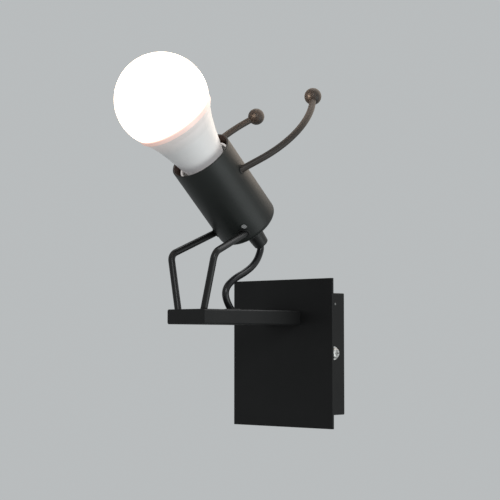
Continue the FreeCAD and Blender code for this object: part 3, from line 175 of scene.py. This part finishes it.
def shaded(colour, factor):
    return tuple(channel * factor for channel in colour)


# Black finishes of the metal and the cable

CLOUDS, PEEL, GRAIN = 38, 700, 1500
PEEL_DEPTH = 0.00006


def powder_coat(name, dark, light, rough, edge, gloss, peel):
    """Black powder coat: fine orange peel over faint clouds, duller where it turns away."""
    coat = Shader(name)
    spread = 0.03
    grain = coat.between(coat.noise(GRAIN, detail=2), rough - spread, rough + spread)
    return coat.set(
        Base_Color=coat.patches(dark, light, CLOUDS, detail=4),
        Roughness=coat.edgewise(grain, edge),
        Normal=coat.dents(coat.noise(PEEL, detail=2), peel, PEEL_DEPTH),
        Specular_IOR_Level=gloss,
    )


def cable_sheath():
    """Smooth glossy sheath with long, shallow dents."""
    sheath = Shader("glossy_black_sheath")
    grain, dents = sheath.noise(1100, detail=2), sheath.noise(260, detail=2)
    return sheath.set(
        Base_Color=sheath.patches((0.010, 0.010, 0.011), (0.016, 0.016, 0.017), scale=90),
        Roughness=sheath.between(grain, 0.19, 0.27),
        Normal=sheath.dents(dents, strength=0.12, depth=0.00012),
        Specular_IOR_Level=0.32,
    )


# The cup. Heights along its axis are counted from the middle of its rim. A painted glow, a brownish
# colour that stands in for the bulb's light on the inner wall, is on what lies nearer the axis than
# the middle of the wall's sheet, and well above the rounded bottom.

CUP_RIM = Vector((0, -0.1033, 0.1283))
CUP_TILT = math.radians(47)
CUP_RADIUS = 0.021
PAINTED_GLOW_WITHIN, BLACK_BEYOND = 0.0201, 0.0204
BLACK_BELOW, PAINTED_GLOW_ABOVE = -0.044, -0.040


def in_cup(shader):
    """The object's own coordinates turned to the cup: x and y across it, z up from its rim."""
    mapping = shader.node("ShaderNodeMapping")
    mapping.vector_type = "TEXTURE"
    mapping.inputs["Location"].default_value = CUP_RIM
    mapping.inputs["Rotation"].default_value = (CUP_TILT, 0, 0)
    shader.links.new(shader.place, mapping.inputs["Vector"])
    return mapping.outputs["Vector"]


def along_cup(shader):
    """Height above the cup's rim along its axis, in metres."""
    return shader.node("ShaderNodeSeparateXYZ", Vector=in_cup(shader)).outputs["Z"]


def cup_coat():
    """The cup's coat: black outside, and a painted brownish glow of the bulb's light on the inner
    side of its wall.
    """
    coat = Shader("cup_black_coat")
    across = coat.node("ShaderNodeVectorMath", Vector=in_cup(coat))
    across.operation = "MULTIPLY"
    across.inputs[1].default_value = (1, 1, 0)
    reach = coat.length(across.outputs["Vector"])
    outside = coat.maths(
        "MAXIMUM",
        coat.between(reach, 0, 1, PAINTED_GLOW_WITHIN, BLACK_BEYOND),
        coat.between(along_cup(coat), 1, 0, BLACK_BELOW, PAINTED_GLOW_ABOVE),
    )
    # Painted light: the bulb's warm light on the inner wall, given as a lighter brownish colour.
    painted_inner_glow = coat.patches((0.060, 0.036, 0.028), (0.078, 0.047, 0.036), scale=200)
    black_colour = coat.patches((0.0072, 0.0083, 0.0077), (0.0098, 0.0118, 0.0108), CLOUDS, detail=4)
    grain = coat.between(coat.noise(GRAIN, detail=2), 0.39, 0.49)
    blend = coat.node("ShaderNodeMix")
    blend.data_type = "RGBA"
    factor, first, second, mixed = (
        blend.inputs[0], blend.inputs[6], blend.inputs[7], blend.outputs[2],
    )
    for socket, value in ((factor, outside), (first, painted_inner_glow), (second, black_colour)):
        coat.feed(socket, value)
    return coat.set(
        Base_Color=mixed,
        Roughness=coat.edgewise(grain, most=0.10),
        Normal=coat.dents(coat.noise(PEEL, detail=2), strength=0.10, depth=PEEL_DEPTH),
        Specular_IOR_Level=0.32,
    )


# Bright metals, plastics and cores

FINE_DEPTH = 0.00002


def metal_finish(
    name, dark, light, rough,
    scale=300, detail=3, scratches=2400, strength=0.1, depth=FINE_DEPTH,
):
    """Bare or plated metal: soft patches of colour under fine scratches."""
    metal = Shader(name)
    scratch = metal.noise(scratches)
    return metal.set(
        Base_Color=metal.patches(dark, light, scale, detail),
        Metallic=1.0,
        Roughness=metal.between(scratch, *rough),
        Normal=metal.dents(scratch, strength, depth),
    )


def moulded(name, colour, rough, scale=700, depth=FINE_DEPTH, gloss=0.5):
    """Moulded plastic or rubber: a faint grain and slightly uneven colour."""
    plastic = Shader(name)
    grain = plastic.noise(scale)
    return plastic.set(
        Base_Color=plastic.patches(shaded(colour, 0.92), shaded(colour, 1.06), scale=60),
        Roughness=plastic.between(grain, rough - 0.04, rough + 0.06),
        Normal=plastic.dents(grain, strength=0.15, depth=depth),
        Specular_IOR_Level=gloss,
    )


def earth_core():
    """Green insulation with a yellow stripe along it."""
    core = Shader("green_yellow_core")
    stripe_start, stripe_end = 0.0001, 0.0003
    across = core.node("ShaderNodeSeparateXYZ", Vector=core.place).outputs["X"]
    stripe = core.between(across, 0, 1, stripe_start, stripe_end)
    return core.set(
        Base_Color=core.tint(stripe, (0.45, (0.05, 0.22, 0.04)), (0.55, (0.62, 0.52, 0.03))),
        Roughness=core.between(core.noise(900), 0.3, 0.4),
    )


def circuit_board():
    """Green board with soft-edged tracks in a lighter green."""
    board = Shader("circuit_board_green")
    tracks = board.noise(350, detail=1, roughness=0.2)
    return board.set(
        Base_Color=board.tint(tracks, (0.47, (0.02, 0.10, 0.04)), (0.53, (0.04, 0.18, 0.07))),
        Roughness=board.between(tracks, 0.28, 0.4),
    )


# The lit bulb, and painted light from it on the holder's skirt, by height above the cup's rim

GLOBE_EDGE = 0.031
BAND_STARTS, BAND_ENDS = 0.0335, 0.042
BAND_GLOW, GLOBE_GLOW = 0.55, 5
GLOW_TOP = 0.060
# Painted light on the holder's skirt: its top edge glows, as if lit by the bulb.
PAINTED_SKIRT_STARTS, PAINTED_SKIRT_ENDS = -0.0065, -0.0035
PAINTED_SKIRT_GLOW = 0.42


def opal_glow():
    """The lit globe: even warm white, and a dim pinkish band near its lower edge."""
    glow = Shader("lit_opal")
    height = along_cup(glow)
    light = glow.tint(
        glow.between(height, 0, 1, GLOBE_EDGE, GLOW_TOP),
        (0.0, (0.56, 0.27, 0.19)),
        (0.11, (0.66, 0.32, 0.24)),
        (0.16, (1.0, 0.76, 0.58)),
        (1.0, (1.0, 0.76, 0.54)),
    )
    return glow.set(
        Base_Color=glow.patches((0.66, 0.59, 0.57), (0.72, 0.65, 0.63), scale=45, detail=2),
        Roughness=0.32,
        Emission_Color=light,
        Emission_Strength=glow.between(height, BAND_GLOW, GLOBE_GLOW, BAND_STARTS, BAND_ENDS),
        Normal=glow.dents(glow.noise(800, detail=2), strength=0.05, depth=FINE_DEPTH),
    )


def housing_white():
    """The bulb's white housing, with painted light: a warm glow just below the globe, and a faint
    glow low in the cup's rim that lifts the shade there.
    """
    white = Shader("bulb_housing_white")
    # Painted light in the emission: warm just below the globe, faint and grey near the cup's rim.
    painted_housing_glow = white.tint(
        white.between(along_cup(white), 0, 1, 0.0, GLOBE_EDGE),
        (0.0, (0.07, 0.07, 0.074)),
        (0.30, (0.01, 0.01, 0.01)),
        (0.58, (0, 0, 0)),
        (1.0, (0.10, 0.055, 0.04)),
    )
    return white.set(
        Base_Color=white.patches((0.755, 0.735, 0.73), (0.80, 0.78, 0.775), scale=70),
        Roughness=white.between(white.noise(900, detail=2), 0.30, 0.38),
        Emission_Color=painted_housing_glow,
        Emission_Strength=1.0,
        Normal=white.dents(white.noise(600, detail=2), strength=0.06, depth=FINE_DEPTH),
    )


def holder_white():
    """The lampholder's white skirt, with a painted highlight: a glow that brightens its top edge,
    standing in for the bulb's light.
    """
    white = Shader("holder_skirt_white")
    grain = white.noise(700)
    return white.set(
        Base_Color=white.patches((0.70, 0.70, 0.69), (0.80, 0.80, 0.79), scale=60),
        Roughness=white.between(grain, 0.30, 0.40),
        Emission_Color=(1.0, 0.93, 0.90, 1),
        Emission_Strength=white.between(along_cup(white), 0, PAINTED_SKIRT_GLOW, PAINTED_SKIRT_STARTS, PAINTED_SKIRT_ENDS),
        Normal=white.dents(grain, strength=0.15, depth=FINE_DEPTH),
    )


def phosphor():
    """Glowing yellow phosphor on the chips inside the globe."""
    chips = Shader("chip_phosphor")
    return chips.set(
        Base_Color=chips.patches((0.80, 0.62, 0.10), (0.90, 0.74, 0.18), scale=1500, detail=2),
        Roughness=0.45,
        Emission_Color=(1.0, 0.85, 0.6, 1),
        Emission_Strength=2.0,
    )


def finish_nodes():
    """Gives every piece of the frame the finish of the real one."""
    sheet = {"rough": 0.42, "edge": 0.34, "gloss": 0.15, "peel": 0.10}
    satin = powder_coat("satin_black_coat", grey(0.0088), grey(0.0108), **sheet)
    # The bar is painted like the plate and box; this lighter copy of their coat is painted light.
    bar_painted_light = powder_coat("bar_coat_painted_light", grey(0.0122), grey(0.0146), **sheet)
    cup_black = cup_coat()
    rod_black = powder_coat(
        "rod_black_coat", (0.0072, 0.0070, 0.0070), (0.0098, 0.0095, 0.0095),
        rough=0.35, edge=0.25, gloss=0.31, peel=0.02,
    )
    # The arms and hands are black like the legs; the lighter, warm brown of this coat is painted
    # warm light.
    arm_painted_warm = powder_coat(
        "arm_coat_painted_warm", (0.0240, 0.0186, 0.0152), (0.0285, 0.0222, 0.0180),
        rough=0.46, edge=0.16, gloss=0.34, peel=0.02,
    )
    silver = metal_finish(
        "bright_zinc", (0.44, 0.44, 0.43), (0.60, 0.60, 0.59), rough=(0.36, 0.50),
        scale=420, detail=4, scratches=2800, strength=0.12, depth=0.00003,
    )
    rubber = moulded("black_rubber", grey(0.018), rough=0.62, scale=1400, depth=0.00005)
    grip = moulded("satin_black_moulding", (0.0115, 0.0120, 0.0120), rough=0.40, gloss=0.32)
    sheath = cable_sheath()
    brown = moulded("brown_core", (0.16, 0.07, 0.03), rough=0.34)
    blue = moulded("blue_core", (0.03, 0.14, 0.50), rough=0.34)
    white = moulded("white_moulding", (0.76, 0.76, 0.75), rough=0.34)
    ceramic = moulded("off_white_insert", (0.72, 0.70, 0.65), rough=0.5)
    dull = metal_finish(
        "dull_zinc", (0.16, 0.16, 0.155), (0.24, 0.24, 0.235), rough=(0.50, 0.62),
    )
    brass = metal_finish("brass", (0.55, 0.38, 0.14), (0.68, 0.50, 0.22), rough=(0.22, 0.36))
    board = metal_finish("aluminium_board", grey(0.62), grey(0.75), rough=(0.3, 0.45))
    nickel = metal_finish(
        "nickel_cap", (0.56, 0.55, 0.52), (0.70, 0.69, 0.66), rough=(0.16, 0.28),
    )
    glass = moulded("black_cap_glass", (0.012, 0.012, 0.014), rough=0.14)
    dark = moulded("dark_electronics", (0.03, 0.03, 0.035), rough=0.42)
    finishes = (
        (satin, ("back_box", "front_plate")),
        (bar_painted_light, ("bar", "bar_end_cap")),
        (cup_black, ("lamp_cup",)),
        (rod_black, ("right_leg", "left_leg")),
        (arm_painted_warm, ("right_arm", "left_arm", "right_hand", "left_hand")),
        (silver, (
            "wall_bracket", "right_bracket_ear", "left_bracket_ear", "right_side_screw",
            "left_side_screw", "right_screw_washer", "left_screw_washer", "bar_root_block",
            "right_bar_screw", "left_bar_screw", "earth_screw", "terminal_screws",
            "right_foot_nut", "left_foot_nut", "nipple", "tooth_washer", "lock_nut",
            "holder_screws",
        )),
        (dull, ("right_rivet", "left_rivet")),
        (rubber, ("wire_bush", "cable_grommet")),
        (grip, ("cord_grip", "grip_screw")),
        (sheath, ("cable", "cable_inside_cup")),
        (brown, ("live_wire", "holder_wires")),
        (blue, ("neutral_wire",)),
        (earth_core(), ("earth_wire",)),
        (white, ("terminal_block", "holder_dome")),
        (holder_white(), ("holder_skirt",)),
        (ceramic, ("holder_insert",)),
        (brass, (
            "terminal_inserts", "screw_shell", "centre_contact", "side_contact", "earth_tag",
            "tip_contact",
        )),
        (opal_glow(), ("diffuser",)),
        (housing_white(), ("bulb_housing",)),
        (board, ("led_board",)),
        (phosphor(), ("led_chips",)),
        (circuit_board(), ("driver_board",)),
        (dark, ("driver_parts",)),
        (nickel, ("screw_cap",)),
        (glass, ("cap_insulator",)),
    )
    for material, names in finishes:
        for name in names:
            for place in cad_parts[name].material_slots:
                place.material = material
    return rod_black, sheath


# The cable, one smooth curve from inside the cord grip to inside the bar

CABLE_ROUTE = (
    (0, -0.04976, 0.07838),
    (0, -0.04431, 0.07329),
    (0, -0.04772, 0.06416),
    (0, -0.05343, 0.05814),
    (0, -0.06164, 0.05341),
    (0, -0.07028, 0.04981),
    (0, -0.07960, 0.04328),
    (0, -0.07951, 0.03498),
    (0, -0.06972, 0.02375),
    (0, -0.06184, 0.02375),
)
CABLE_RADIUS = 0.00235
CABLE_STEPS = 16
CABLE_SIDES = 8


def hang_cable(sheath):
    curve = bpy.data.curves.new("figure_cable", "CURVE")
    curve.dimensions = "3D"
    spline = curve.splines.new("NURBS")
    spline.points.add(len(CABLE_ROUTE) - 1)
    for point, place in zip(spline.points, CABLE_ROUTE):
        point.co = (*place, 1)
    spline.order_u = 3
    spline.use_endpoint_u = True
    spline.resolution_u = CABLE_STEPS
    curve.bevel_depth = CABLE_RADIUS
    curve.bevel_resolution = CABLE_SIDES
    curve.use_fill_caps = True
    curve.materials.append(sheath)
    cable = bpy.data.objects.new("figure_cable", curve)
    bpy.context.collection.objects.link(cable)
    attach(cable, "fixture")
    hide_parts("cable")
    return cable


# Beads of weld round the rods, where they go into the cup. A turn is in degrees about the cup's
# axis, and a depth is below its rim.

RIGHT_HIP = {"turn": -54, "depth": 0.05525}
LEFT_HIP = {"turn": -40, "depth": 0.05525}
SHOULDER = {"turn": 17.1, "depth": 0.0196}
KNEE = Vector((0.02005, -0.1100, 0.0642))
ARM_WAY = Vector((0.5681, 0.6628, 0.4879))

BEAD_BORE = 0.0024
BEAD_CORNERS = 40
BEAD_CUTS = 2
BEAD_START = 0.014
BEAD_RISES = ((0.2, 0.45), (0.8, 0.55))
BEAD_SKIN = 0.0004
BEAD_ROUNDING = 2

DROP_FLATNESS = 0.62
DROP_TIP = 0.9
DROP_SWELL = Vector((0.12, -0.05, 0.10))
DROP_SWELL_REACH = 0.6
DROP_ROOT = 0.0005
FILED_WAY = Vector((0.709, -0.680, 0.185)).normalized()


def cup_point(turn, depth):
    """A point on the cup's side."""
    angle = math.radians(turn)
    out = Vector((CUP_RADIUS * math.cos(angle), CUP_RADIUS * math.sin(angle), -depth))
    return CUP_RIM + Matrix.Rotation(CUP_TILT, 3, "X") @ out


def other_side(point):
    return Vector((-point.x, point.y, point.z))


def lay_bead(name, root, way, wide, proud, coat):
    """A collar of weld: a ring laid on the cup's side along the rod, raised and rounded."""
    pick_nothing()
    bpy.ops.mesh.primitive_circle_add(
        vertices=BEAD_CORNERS, radius=BEAD_BORE + wide, fill_type="NGON",
        location=root + way * BEAD_START, rotation=way.to_track_quat("Z", "Y").to_euler(),
    )
    bead = bpy.context.object
    bpy.ops.object.mode_set(mode="EDIT")
    bpy.ops.mesh.select_all(action="SELECT")
    bpy.ops.mesh.inset(thickness=wide)
    bpy.ops.mesh.delete(type="FACE")
    bpy.ops.mesh.select_all(action="SELECT")
    bpy.ops.mesh.subdivide(number_cuts=BEAD_CUTS)
    bpy.ops.object.mode_set(mode="OBJECT")
    wrap = bead.modifiers.new("wrap", "SHRINKWRAP")
    wrap.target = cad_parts["lamp_cup"]
    wrap.wrap_method = "PROJECT"
    wrap.use_project_z = True
    wrap.use_negative_direction = True
    wrap.use_positive_direction = False
    bpy.ops.object.modifier_apply(modifier="wrap")
    for share, rise in BEAD_RISES:
        reach = BEAD_BORE + wide * share
        for vertex in bead.data.vertices:
            vertex.select = math.hypot(vertex.co.x, vertex.co.y) < reach
        bpy.ops.object.mode_set(mode="EDIT")
        bpy.ops.transform.translate(value=way * proud * rise)
        bpy.ops.object.mode_set(mode="OBJECT")
    skin = bead.modifiers.new("skin", "SOLIDIFY")
    skin.thickness = BEAD_SKIN
    skin.offset = -1
    bpy.ops.object.modifier_apply(modifier="skin")
    smooth = bead.modifiers.new("smooth", "SUBSURF")
    smooth.levels = smooth.render_levels = BEAD_ROUNDING
    bpy.ops.object.modifier_apply(modifier="smooth")
    bpy.ops.object.shade_smooth()
    bead.data.materials.append(coat)
    settle(bead, "fixture", name)


def lay_drop(name, turn, depth, wide, high, flat):
    """A drop of weld on the cup's side: a flattened ball with a swell, cut off inside the sheet.

    Its outer side is filed flat, which leaves a small face that catches the light.
    """
    pick_nothing()
    angle = math.radians(turn)
    out = Matrix.Rotation(CUP_TILT, 3, "X") @ Vector((math.cos(angle), math.sin(angle), 0))
    place = cup_point(turn, depth)
    bpy.ops.mesh.primitive_uv_sphere_add(
        segments=28, ring_count=16, radius=wide / 2, location=place,
        rotation=out.to_track_quat("Z", "Y").to_euler(),
        scale=(1, DROP_FLATNESS, 2 * high / wide),
    )
    drop = bpy.context.object
    for vertex in drop.data.vertices:
        vertex.select = vertex.co.z > DROP_TIP * wide / 2
    bpy.ops.object.mode_set(mode="EDIT")
    bpy.ops.transform.translate(
        value=DROP_SWELL * wide, use_proportional_edit=True,
        proportional_edit_falloff="SMOOTH", proportional_size=wide * DROP_SWELL_REACH,
    )
    for spot, way in ((place - out * DROP_ROOT, -out), (place + FILED_WAY * flat, FILED_WAY)):
        bpy.ops.mesh.select_all(action="SELECT")
        bpy.ops.mesh.bisect(plane_co=spot, plane_no=way, use_fill=True, clear_outer=True)
    bpy.ops.mesh.select_all(action="SELECT")
    bpy.ops.mesh.normals_make_consistent(inside=False)
    bpy.ops.object.mode_set(mode="OBJECT")
    bpy.ops.object.shade_smooth_by_angle(angle=math.radians(30))
    drop.data.materials.append(powder_coat(
        "weld_black_coat", grey(0.010), grey(0.014), rough=0.34, edge=0.2, gloss=0.68, peel=0.0,
    ))
    settle(drop, "fixture", name)


def weld_limbs(coat):
    for side, place, root in (("right", Vector.copy, RIGHT_HIP), ("left", other_side, LEFT_HIP)):
        hip = place(cup_point(**root))
        thigh_way = (place(KNEE) - hip).normalized()
        lay_bead(f"{side}_hip_weld", hip, thigh_way, wide=0.0011, proud=0.0008, coat=coat)
        shoulder, arm_way = place(cup_point(**SHOULDER)), place(ARM_WAY)
        lay_bead(f"{side}_shoulder_weld", shoulder, arm_way, wide=0.0008, proud=0.0006, coat=coat)
    lay_drop("right_hip_drop", turn=-48.2, depth=0.0506, wide=0.0044, high=0.0020, flat=0.0016)


# Floor and backdrop. The floor fades out before its edge, so that it shows no line.

FLOOR_WIDE = 2.4
FLOOR_HEIGHT = -0.6
FADE_STARTS, FADE_ENDS = 0.6, 1.15
SOFT_COLOUR, SOFT_STRENGTH = (0.86, 0.90, 0.92, 1), 0.42
BACKDROP_COLOUR, BACKDROP_STRENGTH = (0.485, 0.505, 0.512, 1), 1.0


def lay_floor():
    pick_nothing()
    bpy.ops.mesh.primitive_plane_add(size=FLOOR_WIDE, location=(0, 0, FLOOR_HEIGHT))
    floor = bpy.context.object
    floor.name = "floor"
    pale = Shader("pale_floor")
    floor.data.materials.append(pale.set(
        Base_Color=pale.patches((0.58, 0.61, 0.62), (0.60, 0.63, 0.64), scale=3),
        Roughness=0.9,
        Alpha=pale.between(pale.length(pale.place), 1, 0, FADE_STARTS, FADE_ENDS),
    ))


def hang_backdrop():
    """A world that lights the lamp softly, and that the camera, metal and glass see as plain."""
    world = bpy.data.worlds.new("studio")
    bpy.context.scene.world = world
    world.use_nodes = True
    nodes, links = world.node_tree.nodes, world.node_tree.links
    soft = nodes["Background"]
    soft.inputs["Color"].default_value = SOFT_COLOUR
    soft.inputs["Strength"].default_value = SOFT_STRENGTH
    seen = nodes.new("ShaderNodeBackground")
    seen.inputs["Color"].default_value = BACKDROP_COLOUR
    seen.inputs["Strength"].default_value = BACKDROP_STRENGTH
    rays = nodes.new("ShaderNodeLightPath")
    total = rays.outputs["Is Camera Ray"]
    for kind in ("Is Glossy Ray", "Is Transmission Ray"):
        plus = nodes.new("ShaderNodeMath")
        plus.operation = "ADD"
        plus.use_clamp = True
        links.new(total, plus.inputs[0])
        links.new(rays.outputs[kind], plus.inputs[1])
        total = plus.outputs[0]
    mix = nodes.new("ShaderNodeMixShader")
    links.new(total, mix.inputs["Fac"])
    links.new(soft.outputs[0], mix.inputs[1])
    links.new(seen.outputs[0], mix.inputs[2])
    links.new(mix.outputs[0], nodes["World Output"].inputs["Surface"])


# Lights. The warm lamps at the back reach all but the legs, the bar and the cable, which stay
# black under plain lamps in the same places.

MIDDLE = (0, -0.06, 0.08)
CHEST = (0, -0.06, 0.14)
ABOVE_WALL = (0.12, 0.38, 0.58)
BEHIND_ARMS, AHEAD = (0.01, 0.012, 0.305), (0.01, -1.0, 0.1)
LOWER = ("right_leg", "left_leg", "bar", "bar_end_cap")
BULB = ("diffuser", "bulb_housing")
GLOBE_RISE = 0.0472
BULB_LIGHT_RADIUS = 0.020
BULB_POWER, BULB_COLOUR = 2.4, (1.0, 0.76, 0.58)


def all_but(name, nodes, *pieces):
    """A collection that a lamp's linking reads as everything apart from these nodes and pieces."""
    left_out = only(name, nodes, *pieces)
    for entry in left_out.collection_objects:
        entry.light_linking.link_state = "EXCLUDE"
    return left_out


def only(name, nodes, *pieces):
    """A collection that a lamp's linking reads as these nodes and pieces and nothing else."""
    named = bpy.data.collections.new(name)
    for piece in (*(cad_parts[node] for node in nodes), *pieces):
        named.objects.link(piece)
    return named


def hang_light(name, place, aim, wide, power, colour):
    pick_nothing()
    bpy.ops.object.light_add(type="AREA", location=place)
    light = bpy.context.object
    light.name = name
    light.data.shape = "DISK"
    light.data.size = wide
    light.data.energy = power
    light.data.color = colour
    way = Vector(aim) - Vector(place)
    light.rotation_euler = way.to_track_quat("-Z", "Y").to_euler()
    light.visible_camera = False
    return light


def hang_pair(kind, place, aim, wide, warm, plain, cable):
    """A warm lamp, and a plain one in its place for the lower pieces, each (power, colour)."""
    light = hang_light(f"warm_{kind}_light", place, aim, wide, *warm)
    light.light_linking.receiver_collection = all_but(f"unlit_by_warm_{kind}", LOWER, cable)
    light = hang_light(f"plain_{kind}_light", place, aim, wide, *plain)
    light.light_linking.receiver_collection = only(f"lit_by_plain_{kind}", LOWER, cable)


def light_studio(cable):
    hang_light(
        "key_light", (1.65, -1.30, 0.80), MIDDLE,
        wide=0.75, power=12.5, colour=(0.95, 0.99, 1.0),
    )
    hang_light(
        "low_side_light", (1.45, 0.30, -0.45), MIDDLE,
        wide=1.3, power=9.5, colour=(0.94, 1.0, 0.99),
    )
    hang_light(
        "back_side_light", (1.5, 1.3, 0.5), MIDDLE,
        wide=1.8, power=1.5, colour=(1.0, 0.99, 0.97),
    )
    hang_pair(
        "back", ABOVE_WALL, CHEST, wide=0.9,
        warm=(1.6, (1.0, 0.88, 0.76)), plain=(1.9, (0.97, 0.98, 1.0)), cable=cable,
    )
    hang_pair(
        "low", BEHIND_ARMS, AHEAD, wide=0.33,
        warm=(0.34, (1.0, 0.82, 0.66)), plain=(0.36, (1.0, 0.99, 0.98)), cable=cable,
    )
    hang_light(
        "top_light", (-0.2, 0.3, 1.8), MIDDLE,
        wide=1.0, power=3.5, colour=(1.0, 0.98, 0.96),
    )


def light_bulb(cable):
    """The lit bulb's own warm light, from a ball in the middle of the globe.

    The globe is dim near its lower edge, so what lies below that gets none of this light. The
    globe itself throws no shadow of it.
    """
    pick_nothing()
    middle = CUP_RIM + Vector((0, -math.sin(CUP_TILT), math.cos(CUP_TILT))) * GLOBE_RISE
    bpy.ops.object.light_add(type="POINT", location=middle)
    light = bpy.context.object
    light.name = "bulb_light"
    light.data.shadow_soft_size = BULB_LIGHT_RADIUS
    light.data.use_soft_falloff = False
    light.data.energy = BULB_POWER
    light.data.color = BULB_COLOUR
    light.visible_camera = False
    light.light_linking.receiver_collection = all_but("unlit_by_bulb", BULB + LOWER, cable)
    light.light_linking.blocker_collection = all_but("clear_to_bulb", ("diffuser",))


place_camera()
rod_black, sheath = finish_nodes()
cable = hang_cable(sheath)
weld_limbs(rod_black)
lay_floor()
hang_backdrop()
light_studio(cable)
light_bulb(cable)
bpy.context.scene.view_settings.view_transform = "Standard"
